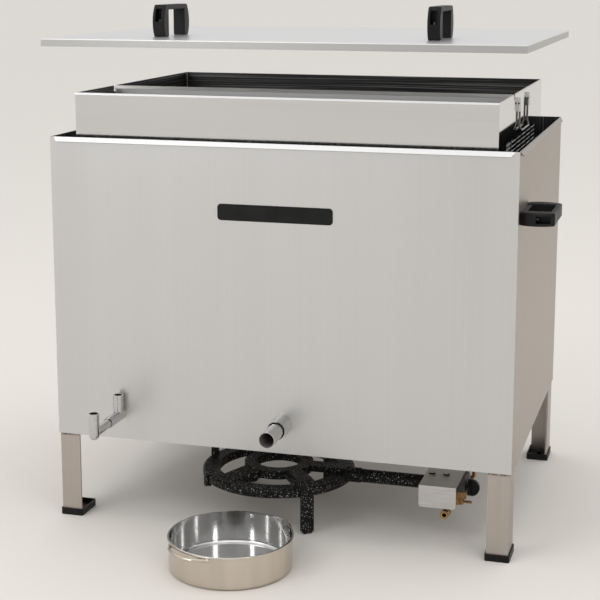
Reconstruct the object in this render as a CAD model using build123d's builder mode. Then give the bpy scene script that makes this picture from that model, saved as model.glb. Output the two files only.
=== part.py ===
from build123d import *
import os
from math import cos, hypot, radians, sin

os.makedirs("parts", exist_ok=True)

# A stainless wax melter, in millimetres: a water tank on legs, a lift-out box, a lid, a gas ring
# and a catch pan. Z is up from the floor, the front faces -Y and X runs to the right.
# It is shown opened: the box is drawn up out of the tank and the lid is held above the box.

# Tank
sheet = 1.5
tank_width = 750.0
tank_depth = 550.0
tank_height = 493.0
floor_clearance = 142.0
rim_drop = 7.0
rim_reach = 4.5
rim_end_inset = 6.0
rim_end_taper = 7.5
weld_gap = 0.05

# Legs and feet
leg_width = 34.0
leg_depth = 50.0
leg_thickness = 3.0
leg_inset = 2.0
foot_height = 11.0
foot_floor = 4.0
foot_wall = 2.2
foot_clearance = 0.2
foot_edge = 3.0
foot_boss_radius = 4.0
foot_boss_height = 4.0

# Bow handles, the same moulding on the lid and on the tank
handle_length = 117.0
handle_base_length = 104.0
handle_top_length = 96.0
handle_height = 51.0
handle_width = 20.0
handle_opening = 70.0
handle_bulge_height = 24.0
grip_thickness = 8.0
foot_bar_thickness = 8.0
handle_edge = 1.5
pocket_width = 11.0
pocket_floor = 24.0
pocket_roof = 6.0
side_handle_below_rim = 101.0
side_handle_from_front = 69.5
lid_handle_spacing = 450.0
lid_handle_forward = 120.0

# Handle screws and nuts
screw_spacing = 93.5
screw_radius = 2.5
screw_clearance = 0.1
screw_head_radius = 4.5
screw_head_height = 3.5
screw_tail = 5.0
nut_radius = 4.6
nut_height = 4.0
nut_clearance = 0.02

# Lift-out box
box_sheet = 2.0
box_gap_side = 33.5
box_gap_front = 21.5
box_height = 400.0
box_sunk = 8.0
box_raise = 77.0
partition_from_front = 157.0
tab_height = 7.5
tab_below_top = 2.5
tab_clearance = 0.2
notch_width = 12.0
box_lip_reach = 2.0
box_lip_drop = 3.0
partition_lip_reach = 3.2
partition_lip_drop = 5.0
end_slot_height = 5.0
end_slot_margin = 74.0
end_slot_bridge = 6.5
end_slot_row_pitch = 7.0
end_slot_columns = 6
end_slot_rows = 8
end_slot_below_top = 72.0
floor_slot_width = 8.0
floor_slot_margin = 25.0
floor_slot_bridge = 12.0
floor_slot_columns = 11
floor_slot_rows = 8

# Drop handles of the box
rod_radius = 1.7
rod_bend = 4.0
rod_clearance = 0.05
drop_width = 94.0
drop_height = 45.0
drop_kick = 3.0
drop_kick_height = 9.0
eye_width = 8.0
eye_reach = 4.6
eye_height = 22.0
eye_below_top = 8.0
eye_edge = 1.5
eye_pivot_below_top = 17.0
eye_side_gap = 1.0

# Ledges that carry the box
ledge_sheet = 2.0
ledge_width = 44.0
ledge_flange = 25.0
ledge_length = 400.0
seat_gap = 0.3

# Lid
lid_clearance = 1.5
lid_skirt = 12.0
lid_raise = 153.5
lid_corner = 1.2

# Wax outlet
wax_x = 12.0
wax_above_floor = 190.0
wax_socket_radius = 16.0
wax_socket_bore = 14.4
wax_socket_length = 36.0
wax_socket_inside = 8.0
wax_spout_radius = 12.8
wax_spout_bore = 11.9
wax_spout_reach = 84.0
wax_spout_engagement = 27.0
wax_seal_recess = 8.0
wax_seal_length = 12.0

# Water level pipe
level_from_left = 112.0
level_above_floor = 184.0
level_socket_radius = 8.8
level_socket_bore = 7.8
level_socket_length = 55.0
level_socket_inside = 8.0
neck_radius = 8.4
neck_bore = 6.5
neck_from_wall = 10.5
neck_height = 35.0
elbow_radius = 7.2
elbow_bore = 5.8
elbow_reach = 107.0
elbow_engagement = 26.0
upright_radius = 8.3
upright_bore = 6.8
elbow_rise = 32.0
elbow_drop = 2.5
level_seal_recess = 7.0
level_seal_length = 12.0
seal_clearance = 0.02
slip_clearance = 0.05

# Gas ring
burner_x = -35.0
burner_behind_front = 135.0
ring_radius = 128.5
ring_band = 27.0
ring_height = 15.0
ring_above_floor = 60.0
ring_edge = 5.0
hub_radius = 58.0
hub_band = 20.0
hub_height = 14.0
hub_above_ring_foot = 8.0
web_widths = {-124.0: 36.0, -50.0: 20.0, 97.0: 26.0}
duct_width = 26.0
duct_height = 10.0
duct_into_ring = 5.0
lug_width = 10.0
raised_lug_proud = 12.0
hanging_lug_proud = 4.0
raised_lug_angle = 170.0
hanging_lug_angle = 220.0
port_radius = 1.6
port_depth = 8.0
port_pitch_angle = 9
port_leg_angle = 6.0
hub_ports = 20
arm_above_floor = 69.0
arm_boss_radius = 12.5
arm_boss_length = 14.0
burner_leg_angles = {"front": -53.0, "rear": 65.0, "left": 128.0}
burner_leg_reach = 62.0
leg_pad_height = 11.0
leg_pad_size = 18.0
burner_leg_width = 22.0
burner_leg_thickness = 5.0
burner_leg_gap = 0.3
burner_leg_corner = 5.0
bolt_radius = 3.0
bolt_head_radius = 5.8
bolt_head_height = 4.0
bolt_bite = 3.0

# Mixer tube, valve and shield
mixer_radius = 11.0
mixer_bore = 8.0
mixer_length = 132.5
collar_length = 18.0
collar_width = 38.0
jet_radius = 4.0
jet_gap = 10.0
jet_into_mixer = 8.0
valve_length = 35.0
valve_width = 38.0
valve_below_arm = 6.0
valve_edge = 1.0
stem_below_arm = 2.5
stem_radius = 3.2
stem_length = 8.0
knob_gap = 3.0
knob_radius = 13.5
knob_disc = 5.0
knob_fin = 7.0
knob_clearance = 0.05
shield_sheet = 1.5
shield_width = 60.0
shield_front = 75.0
shield_back = 15.0
shield_above_floor = 90.0
shield_flange = 36.0
shield_corner = 5.0
shield_inset = 4.6
shield_screw_forward = 15.0
valve_screw_inset = 4.0
shield_screw_radius = 2.5
shield_screw_head = 5.2
shield_screw_height = 2.4
shield_screw_bite = 6.0
union_width = 29.0
union_height = 14.0
union_from_end = 14.0
boss_radius = 10.0
boss_height = 11.0
nozzle_beside_boss = 8.0
nozzle_above_boss_foot = 7.0
nozzle_neck_radius = 5.0
nozzle_collar_radius = 8.0
nozzle_collar_length = 3.0
nozzle_thread_radius = 6.6
nozzle_thread_length = 15.0
nozzle_tip_edge = 1.0
nozzle_bore = 3.5
nozzle_past_shield = 4.0
nipple_radius = 2.3
nipple_reach = 13.5
nipple_bite = 5.0
nipple_edge = 1.8
nipple_above_boss_foot = 3.2
probe_radius = 3.2
probe_bend = 6.0
probe_from_end = 9.0
probe_rear = 8.0
probe_reach = 16.5
probe_above_arm = 5.0
probe_rise = 20.0

# Catch pan
pan_x = -32.0
pan_from_front = 128.0
pan_radius = 94.7
pan_height = 52.0
pan_wall = 1.5
pan_corner = 6.0
pan_lip_reach = 1.8
pan_lip_height = 3.0
ear_rod_radius = 2.5
ear_bow = 14.0
ear_below_rim = 6.0
ear_spread = 54.0
ear_angle = 241.0

# Heights and places that follow from the sizes above
rim_z = floor_clearance + tank_height
lid_width = tank_width + 2 * (rim_reach + lid_clearance + sheet)
lid_depth = tank_depth + 2 * (rim_reach + lid_clearance + sheet)
lid_top = rim_z + seat_gap + sheet + lid_raise
box_width = tank_width - 2 * (sheet + box_gap_side)
box_depth = tank_depth - 2 * (sheet + box_gap_front)
box_top = rim_z - box_sunk + box_raise
box_foot = box_top - box_height
level_x = level_from_left - tank_width / 2

# Each ear of the pan is one bow of rod: its crown, its roots in the wall, and how far out its middle lies
loop_radius = pan_radius + ear_bow - ear_rod_radius
root_radius = pan_radius - pan_wall
root_along = root_radius * cos(radians(ear_spread / 2))
bow_offset = (loop_radius**2 - root_radius**2) / (2 * (loop_radius - root_along))
ear_reach = loop_radius - bow_offset * (1 + sin(radians(ear_angle))) + ear_rod_radius

# The origin is under the middle of everything that stands or hangs between the pan and the lid
front_reach = tank_depth / 2 + pan_from_front + ear_reach
tank_y = (front_reach - lid_depth / 2) / 2
front_y = tank_y - tank_depth / 2
partition_y = tank_y - box_depth / 2 + partition_from_front
side_handle_y = front_y + side_handle_from_front
side_handle_z = rim_z - side_handle_below_rim
burner_y = front_y + burner_behind_front
ring_top = ring_above_floor + ring_height
hub_foot = ring_above_floor + hub_above_ring_foot
hub_top = hub_foot + hub_height
leg_seat = ring_top + leg_pad_height


def save(piece, name):
    piece.part.label = name
    export_step(piece.part, f"parts/{name}.step")


# Planes on the outside of the tank: X runs along the wall, Y is up and Z points outwards
front_wall = Plane(origin=(0, front_y, 0), x_dir=(1, 0, 0), z_dir=(0, -1, 0))
rear_wall = Plane(origin=(0, tank_y + tank_depth / 2, 0), x_dir=(-1, 0, 0), z_dir=(0, 1, 0))
left_wall = Plane(origin=(-tank_width / 2, tank_y, 0), x_dir=(0, -1, 0), z_dir=(-1, 0, 0))
right_wall = Plane(origin=(tank_width / 2, tank_y, 0), x_dir=(0, 1, 0), z_dir=(1, 0, 0))


# Tank panels: a flat sheet whose top edge is folded outwards and down, with tapered ends
def tank_panel(wall, length, holes):
    fold = hypot(rim_reach, rim_drop)
    fold_tip = (rim_reach - sheet * rim_drop / fold, rim_z - rim_drop - sheet * rim_reach / fold)
    fold_root = rim_z - sheet * fold / rim_reach
    profile = Plane(origin=wall.origin, x_dir=wall.z_dir, z_dir=-wall.x_dir)
    fold_end = length / 2 - rim_end_inset
    fold_foot = rim_z - rim_drop - sheet
    with BuildPart() as panel:
        with BuildSketch(wall):
            with Locations((0, floor_clearance + tank_height / 2)):
                Rectangle(length, tank_height)
            for x, z, radius in holes:
                with Locations((x, z)):
                    Circle(radius, mode=Mode.SUBTRACT)
        extrude(amount=-sheet)
        with BuildSketch(profile):
            with BuildLine():
                Polyline((0, rim_z), (rim_reach, rim_z - rim_drop), fold_tip, (0, fold_root), close=True)
            make_face()
        extrude(amount=fold_end, both=True)
        with BuildSketch(wall):
            for side in (-1, 1):
                end = side * fold_end
                taper = end - side * rim_end_taper
                with BuildLine():
                    Polyline((end, rim_z), (taper, fold_foot), (end, fold_foot), close=True)
                make_face()
        extrude(amount=rim_reach + sheet, mode=Mode.SUBTRACT)
    return panel


wax_hole = (wax_x, wax_above_floor, wax_socket_radius + weld_gap)
level_hole = (level_x, level_above_floor, level_socket_radius + weld_gap)
hole_radius = screw_radius + screw_clearance
handle_along = side_handle_y - tank_y
side_holes = [(handle_along + end * screw_spacing / 2, side_handle_z, hole_radius) for end in (-1, 1)]
side_length = tank_depth - 2 * sheet

save(tank_panel(front_wall, tank_width, [wax_hole, level_hole]), "tank_front_panel")
save(tank_panel(rear_wall, tank_width, []), "tank_rear_panel")
save(tank_panel(left_wall, side_length, side_holes), "tank_left_panel")
save(tank_panel(right_wall, side_length, side_holes), "tank_right_panel")

with BuildPart() as tank_floor:
    with BuildSketch(Plane((0, tank_y, floor_clearance))):
        Rectangle(tank_width - 2 * sheet, tank_depth - 2 * sheet)
    extrude(amount=sheet)
save(tank_floor, "tank_floor")

# Legs: open angles with their corner outwards, each standing in a moulded foot
foot_width = leg_width + 2 * (foot_clearance + foot_wall)
foot_depth = leg_depth + 2 * (foot_clearance + foot_wall)
for row, y_side in (("front", -1), ("rear", 1)):
    for column, x_side in (("left", -1), ("right", 1)):
        corner_x = x_side * (tank_width / 2 - leg_inset)
        corner_y = tank_y + y_side * (tank_depth / 2 - leg_inset)
        leg_x = corner_x - x_side * leg_width / 2
        leg_y = corner_y - y_side * leg_depth / 2
        with BuildPart() as leg:
            with BuildSketch(Plane.XY.offset(foot_floor)):
                with Locations((leg_x, corner_y - y_side * leg_thickness / 2)):
                    Rectangle(leg_width, leg_thickness)
                with Locations((corner_x - x_side * leg_thickness / 2, leg_y)):
                    Rectangle(leg_thickness, leg_depth)
            extrude(amount=floor_clearance - foot_floor)
        save(leg, f"{row}_{column}_leg")

        with BuildPart() as foot:
            with BuildSketch(Plane((leg_x, leg_y, 0))):
                Rectangle(foot_width, foot_depth)
            extrude(amount=foot_height)
            fillet(foot.edges().filter_by(Axis.Z), radius=foot_edge)
            with BuildSketch(Plane((leg_x, leg_y, foot_floor))):
                Rectangle(foot_width - 2 * foot_wall, foot_depth - 2 * foot_wall)
            extrude(amount=foot_height, mode=Mode.SUBTRACT)
            with BuildSketch(Plane((leg_x, leg_y, foot_floor))):
                Circle(foot_boss_radius)
            extrude(amount=foot_boss_height)
        save(foot, f"{row}_{column}_foot")

# Ledges inside the tank, under the two ends of the lowered box
ledge_top = box_foot - box_raise - seat_gap
for column, x_side in (("left", -1), ("right", 1)):
    inner_x = x_side * (tank_width / 2 - sheet)
    with BuildPart() as ledge:
        with BuildSketch(Plane((0, tank_y, 0), x_dir=(1, 0, 0), z_dir=(0, -1, 0))):
            with Locations((inner_x - x_side * ledge_width / 2, ledge_top - ledge_sheet / 2)):
                Rectangle(ledge_width, ledge_sheet)
            with Locations((inner_x - x_side * ledge_sheet / 2, ledge_top - ledge_flange / 2)):
                Rectangle(ledge_sheet, ledge_flange)
        extrude(amount=ledge_length / 2, both=True)
    save(ledge, f"{column}_ledge")


# Bow handles: X of the plane runs along the handle, Y away from the sheet and Z across the grip; the
# handles of the tank have a bar between their feet
def bow_handle(plane, foot_bar):
    base = handle_base_length / 2
    top = handle_top_length / 2
    bulge = (handle_length / 2, handle_bulge_height)
    opening = handle_opening / 2
    under_grip = handle_height - grip_thickness
    pocket_end = screw_spacing / 2 - screw_head_radius - screw_clearance
    pocket_height = handle_height - pocket_roof - pocket_floor
    pocket_reach = handle_length / 2 - pocket_end
    with BuildPart() as handle:
        with BuildSketch(plane):
            with BuildLine():
                ThreePointArc((-base, 0), (-bulge[0], bulge[1]), (-top, handle_height))
                Line((-top, handle_height), (top, handle_height))
                ThreePointArc((top, handle_height), bulge, (base, 0))
                Polyline((base, 0), (opening, 0), (opening, under_grip))
                Line((opening, under_grip), (-opening, under_grip))
                Polyline((-opening, under_grip), (-opening, 0), (-base, 0))
            make_face()
        extrude(amount=handle_width / 2, both=True)
        across = Axis(plane.origin, plane.z_dir)
        chamfer(handle.faces().sort_by(across)[0].outer_wire().edges(), length=handle_edge)
        chamfer(handle.faces().sort_by(across)[-1].outer_wire().edges(), length=handle_edge)
        if foot_bar:
            with BuildSketch(plane):
                with Locations((0, foot_bar_thickness / 2)):
                    Rectangle(handle_opening, foot_bar_thickness)
            extrude(amount=handle_width / 2 - handle_edge, both=True)
        with BuildSketch(plane):
            for side in (-1, 1):
                with Locations((side * (pocket_end + pocket_reach / 2), pocket_floor + pocket_height / 2)):
                    Rectangle(pocket_reach, pocket_height)
        extrude(amount=pocket_width / 2, both=True, mode=Mode.SUBTRACT)
        with BuildSketch(screw_plane(plane)):
            with Locations((-screw_spacing / 2, 0), (screw_spacing / 2, 0)):
                Circle(hole_radius)
        extrude(amount=pocket_floor, mode=Mode.SUBTRACT)
    return handle


# The sheet's face under a handle: X along the handle and Z away from the sheet
def screw_plane(plane):
    return Plane(origin=plane.origin, x_dir=plane.x_dir, z_dir=plane.y_dir)


def handle_screws(planes):
    with BuildPart() as screws:
        for plane in planes:
            seat = screw_plane(plane)
            with BuildSketch(seat.offset(-sheet - screw_tail)):
                with Locations((-screw_spacing / 2, 0), (screw_spacing / 2, 0)):
                    Circle(screw_radius)
            extrude(amount=sheet + screw_tail + pocket_floor)
            with BuildSketch(seat.offset(pocket_floor)):
                with Locations((-screw_spacing / 2, 0), (screw_spacing / 2, 0)):
                    Circle(screw_head_radius)
            extrude(amount=screw_head_height)
    return screws


def handle_nuts(planes):
    with BuildPart() as nuts:
        for plane in planes:
            with BuildSketch(screw_plane(plane).offset(-sheet)):
                with Locations((-screw_spacing / 2, 0), (screw_spacing / 2, 0)):
                    RegularPolygon(radius=nut_radius, side_count=6)
                    Circle(screw_radius + nut_clearance, mode=Mode.SUBTRACT)
            extrude(amount=-nut_height)
    return nuts


# Both ends of the tank are the same panel, so one handle is near the front and one near the rear
left_handle_y = tank_y - handle_along
left_end = Plane((-tank_width / 2, left_handle_y, side_handle_z), x_dir=(0, 1, 0), z_dir=(0, 0, 1))
right_end = Plane((tank_width / 2, side_handle_y, side_handle_z), x_dir=(0, 1, 0), z_dir=(0, 0, -1))
save(bow_handle(left_end, True), "left_tank_handle")
save(bow_handle(right_end, True), "right_tank_handle")
save(handle_screws([left_end, right_end]), "tank_handle_screws")
save(handle_nuts([left_end, right_end]), "tank_handle_nuts")

lid_handle_x = lid_handle_spacing / 2
lid_handle_y = tank_y - lid_handle_forward
lid_left = Plane((-lid_handle_x, lid_handle_y, lid_top), x_dir=(0, 1, 0), z_dir=(1, 0, 0))
lid_right = Plane((lid_handle_x, lid_handle_y, lid_top), x_dir=(0, 1, 0), z_dir=(1, 0, 0))
save(bow_handle(lid_left, False), "left_lid_handle")
save(bow_handle(lid_right, False), "right_lid_handle")
save(handle_screws([lid_left, lid_right]), "lid_handle_screws")
save(handle_nuts([lid_left, lid_right]), "lid_handle_nuts")

# Lid: a flat sheet with four edge strips welded under it, which go down over the tank's rim
lid_strip = lid_skirt - sheet
with BuildPart() as lid_panel:
    with BuildSketch(Plane((0, tank_y, lid_top - sheet))):
        RectangleRounded(lid_width, lid_depth, lid_corner)
    extrude(amount=sheet)
    for handle_plane in (lid_left, lid_right):
        with BuildSketch(screw_plane(handle_plane)):
            with Locations((-screw_spacing / 2, 0), (screw_spacing / 2, 0)):
                Circle(hole_radius)
        extrude(amount=-2 * sheet, mode=Mode.SUBTRACT)
save(lid_panel, "lid_panel")

with BuildPart() as lid_edge_strips:
    with BuildSketch(Plane((0, tank_y, lid_top - lid_skirt))):
        with GridLocations(0, lid_depth - sheet, 1, 2):
            Rectangle(lid_width, sheet)
    extrude(amount=lid_strip)
    fillet(lid_edge_strips.edges().filter_by(Axis.Z).group_by(Axis.Y)[0], radius=lid_corner)
    fillet(lid_edge_strips.edges().filter_by(Axis.Z).group_by(Axis.Y)[-1], radius=lid_corner)
    with BuildSketch(Plane((0, tank_y, lid_top - lid_skirt))):
        with GridLocations(lid_width - sheet, 0, 2, 1):
            Rectangle(sheet, lid_depth - 2 * sheet - 2 * weld_gap)
    extrude(amount=lid_strip)
save(lid_edge_strips, "lid_edge_strips")

# Wax outlet: a welded socket, a seal in its mouth and a spout that pushes in
wax_plane = Plane((wax_x, front_y, wax_above_floor), x_dir=(1, 0, 0), z_dir=(0, -1, 0))
with BuildPart() as wax_outlet_socket:
    with BuildSketch(wax_plane.offset(-wax_socket_inside)):
        Circle(wax_socket_radius)
        Circle(wax_socket_bore, mode=Mode.SUBTRACT)
    extrude(amount=wax_socket_inside + wax_socket_length)
save(wax_outlet_socket, "wax_outlet_socket")

with BuildPart() as wax_outlet_seal:
    with BuildSketch(wax_plane.offset(wax_socket_length - wax_seal_recess)):
        Circle(wax_socket_bore - seal_clearance)
        Circle(wax_spout_radius + slip_clearance, mode=Mode.SUBTRACT)
    extrude(amount=-wax_seal_length)
save(wax_outlet_seal, "wax_outlet_seal")

with BuildPart() as wax_spout:
    with BuildSketch(wax_plane.offset(wax_socket_length - wax_spout_engagement)):
        Circle(wax_spout_radius)
        Circle(wax_spout_bore, mode=Mode.SUBTRACT)
    extrude(amount=wax_spout_reach - wax_socket_length + wax_spout_engagement)
save(wax_spout, "wax_spout")

# Water level pipe: a welded socket with an upright neck, a seal and an elbow that turns in it
level_plane = Plane((level_x, front_y, level_above_floor), x_dir=(1, 0, 0), z_dir=(0, -1, 0))
neck_y = front_y - neck_from_wall
elbow_y = front_y - elbow_reach
with BuildPart() as level_socket:
    with BuildSketch(level_plane.offset(-level_socket_inside)):
        Circle(level_socket_radius)
    extrude(amount=level_socket_inside + level_socket_length)
    with BuildSketch(Plane((level_x, neck_y, level_above_floor))):
        Circle(neck_radius)
    extrude(amount=neck_height)
    with BuildSketch(level_plane.offset(-level_socket_inside)):
        Circle(level_socket_bore)
    extrude(amount=level_socket_inside + level_socket_length, mode=Mode.SUBTRACT)
    with BuildSketch(Plane((level_x, neck_y, level_above_floor))):
        Circle(neck_bore)
    extrude(amount=neck_height, mode=Mode.SUBTRACT)
save(level_socket, "level_socket")

with BuildPart() as level_seal:
    with BuildSketch(level_plane.offset(level_socket_length - level_seal_recess)):
        Circle(level_socket_bore - seal_clearance)
        Circle(elbow_radius + slip_clearance, mode=Mode.SUBTRACT)
    extrude(amount=-level_seal_length)
save(level_seal, "level_seal")

elbow_root = level_socket_length - elbow_engagement
with BuildPart() as level_elbow:
    with BuildSketch(level_plane.offset(elbow_root)):
        Circle(elbow_radius)
    extrude(amount=elbow_reach - elbow_root)
    with BuildSketch(Plane((level_x, elbow_y, level_above_floor - elbow_drop))):
        Circle(upright_radius)
    extrude(amount=elbow_drop + elbow_rise)
    with Locations((level_x, elbow_y, level_above_floor - elbow_drop)):
        Sphere(upright_radius)
    with BuildSketch(level_plane.offset(elbow_root)):
        Circle(elbow_bore)
    extrude(amount=elbow_reach - elbow_root, mode=Mode.SUBTRACT)
    with BuildSketch(Plane((level_x, elbow_y, level_above_floor - elbow_drop))):
        Circle(upright_bore)
    extrude(amount=elbow_drop + elbow_rise, mode=Mode.SUBTRACT)
save(level_elbow, "level_elbow")

# Sloping lip along the top of a sheet: X of its plane points out of the sheet and Y is up
def lip_plane(edge, outward):
    return Plane(origin=edge, x_dir=outward, z_dir=Vector(outward).cross(Vector(0, 0, 1)))


# Lift-out box: two lipped walls, two end walls, a slotted floor and a partition with tabs in their notches
box_front = Plane((0, tank_y - box_depth / 2, 0), x_dir=(1, 0, 0), z_dir=(0, -1, 0))
box_rear = Plane((0, tank_y + box_depth / 2, 0), x_dir=(-1, 0, 0), z_dir=(0, 1, 0))
for name, wall in (("box_front_wall", box_front), ("box_rear_wall", box_rear)):
    with BuildPart() as box_wall:
        with BuildSketch(wall):
            with Locations((0, box_foot + box_height / 2)):
                Rectangle(box_width, box_height)
        extrude(amount=-box_sheet)
        with BuildSketch(lip_plane(wall.origin + Vector(0, 0, box_top), wall.z_dir)):
            Polygon((0, 0), (box_lip_reach, -box_lip_drop), (0, -box_lip_drop), align=None)
        extrude(amount=box_width / 2, both=True)
    save(box_wall, name)

tab_z = box_top - tab_below_top - tab_height / 2
notch_depth = tab_below_top + tab_height + tab_clearance
end_wall_length = box_depth - 2 * box_sheet
end_slot_pitch = (end_wall_length - 2 * end_slot_margin) / end_slot_columns
slot_grid_z = box_top - end_slot_below_top - (end_slot_rows - 1) * end_slot_row_pitch / 2
for column, x_side in (("left", -1), ("right", 1)):
    end_plane = Plane((x_side * box_width / 2, tank_y, 0), x_dir=(0, x_side, 0), z_dir=(x_side, 0, 0))
    with BuildPart() as end_wall:
        with BuildSketch(end_plane):
            with Locations((0, box_foot + box_height / 2)):
                Rectangle(end_wall_length, box_height)
            with Locations((x_side * (partition_y - tank_y), box_top)):
                Rectangle(notch_width, 2 * notch_depth, mode=Mode.SUBTRACT)
            with Locations((0, slot_grid_z)):
                with GridLocations(end_slot_pitch, end_slot_row_pitch, end_slot_columns, end_slot_rows):
                    Rectangle(end_slot_pitch - end_slot_bridge, end_slot_height, mode=Mode.SUBTRACT)
        extrude(amount=-box_sheet)
    save(end_wall, f"box_{column}_wall")

box_inside_width = box_width - 2 * box_sheet
floor_slot_pitch = (box_inside_width - 2 * floor_slot_margin) / floor_slot_columns
floor_slot_row_pitch = (end_wall_length - 2 * floor_slot_margin) / floor_slot_rows
with BuildPart() as box_floor:
    with BuildSketch(Plane((0, tank_y, box_foot))):
        Rectangle(box_inside_width, end_wall_length)
        with GridLocations(floor_slot_pitch, floor_slot_row_pitch, floor_slot_columns, floor_slot_rows):
            Rectangle(floor_slot_pitch - floor_slot_bridge, floor_slot_width, mode=Mode.SUBTRACT)
    extrude(amount=box_sheet)
save(box_floor, "box_floor")

partition_height = box_height - box_sheet
with BuildPart() as box_partition:
    with BuildSketch(Plane((0, partition_y, 0), x_dir=(1, 0, 0), z_dir=(0, -1, 0))):
        with Locations((0, box_top - partition_height / 2)):
            Rectangle(box_inside_width, partition_height)
        with Locations((0, tab_z)):
            Rectangle(box_width, tab_height)
    extrude(amount=box_sheet / 2, both=True)
    with BuildSketch(lip_plane((0, partition_y - box_sheet / 2, box_top), (0, -1, 0))):
        Polygon((0, 0), (partition_lip_reach, -partition_lip_drop), (0, -partition_lip_drop), align=None)
    extrude(amount=box_inside_width / 2, both=True)
save(box_partition, "box_partition")

# Drop handles: round rod in eyes welded to the end walls, kicked out at the grip for the fingers
pivot_x = box_width / 2 + eye_reach / 2
pivot_z = box_top - eye_pivot_below_top
eye_y = drop_width / 2 + rod_bend + eye_side_gap + eye_width / 2
with BuildPart() as box_handle_eyes:
    with BuildSketch(Plane((0, tank_y, box_top - eye_below_top - eye_height))):
        with GridLocations(2 * pivot_x, 2 * eye_y, 2, 2):
            Rectangle(eye_reach, eye_width)
    extrude(amount=eye_height)
    eye_edges = box_handle_eyes.edges().filter_by(Axis.Z)
    fillet(eye_edges.filter_by(lambda edge: abs(edge.center().X) > pivot_x), radius=eye_edge)
    with BuildSketch(Plane((0, tank_y, pivot_z), x_dir=(1, 0, 0), z_dir=(0, -1, 0))):
        with Locations((-pivot_x, 0), (pivot_x, 0)):
            Circle(rod_radius + rod_clearance)
    extrude(amount=box_depth / 2, both=True, mode=Mode.SUBTRACT)
save(box_handle_eyes, "box_handle_eyes")

for column, x_side in (("left", -1), ("right", 1)):
    rod_x = x_side * pivot_x
    grip_x = rod_x + x_side * drop_kick
    near_y = tank_y - drop_width / 2
    far_y = tank_y + drop_width / 2
    low_z = pivot_z - drop_height
    kick_z = low_z + drop_kick_height
    near_end = tank_y - eye_y - eye_width / 2
    far_end = tank_y + eye_y + eye_width / 2
    with BuildPart() as drop_handle:
        with BuildLine() as rod_path:
            FilletPolyline(
                (rod_x, near_end, pivot_z),
                (rod_x, near_y, pivot_z),
                (rod_x, near_y, kick_z),
                (grip_x, near_y, low_z),
                (grip_x, far_y, low_z),
                (rod_x, far_y, kick_z),
                (rod_x, far_y, pivot_z),
                (rod_x, far_end, pivot_z),
                radius=rod_bend,
            )
        with BuildSketch(Plane((rod_x, near_end, pivot_z), x_dir=(1, 0, 0), z_dir=(0, 1, 0))):
            Circle(rod_radius)
        sweep(path=rod_path.line)
    save(drop_handle, f"box_{column}_drop_handle")

# Gas ring: a cast ring and a higher inner ring, joined by sloping webs and by the duct from the mixer
# tube, with pads under the legs and two lugs
burner_plane = Plane((burner_x, burner_y, ring_above_floor))
burner_top = Plane((burner_x, burner_y, ring_top))
hub_top_plane = Plane((burner_x, burner_y, hub_top))
arm_plane = Plane((burner_x, burner_y, arm_above_floor), x_dir=(0, 1, 0), z_dir=(1, 0, 0))
ring_inner = ring_radius - ring_band
ring_middle = ring_radius - ring_band / 2
hub_middle = hub_radius - hub_band / 2
arm_end = ring_radius + arm_boss_length


# Ports are left out where a leg is bolted down
def clear_of_legs(angle):
    turns = [(angle - leg + 180) % 360 - 180 for leg in burner_leg_angles.values()]
    return min(abs(turn) for turn in turns) > port_leg_angle


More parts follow.
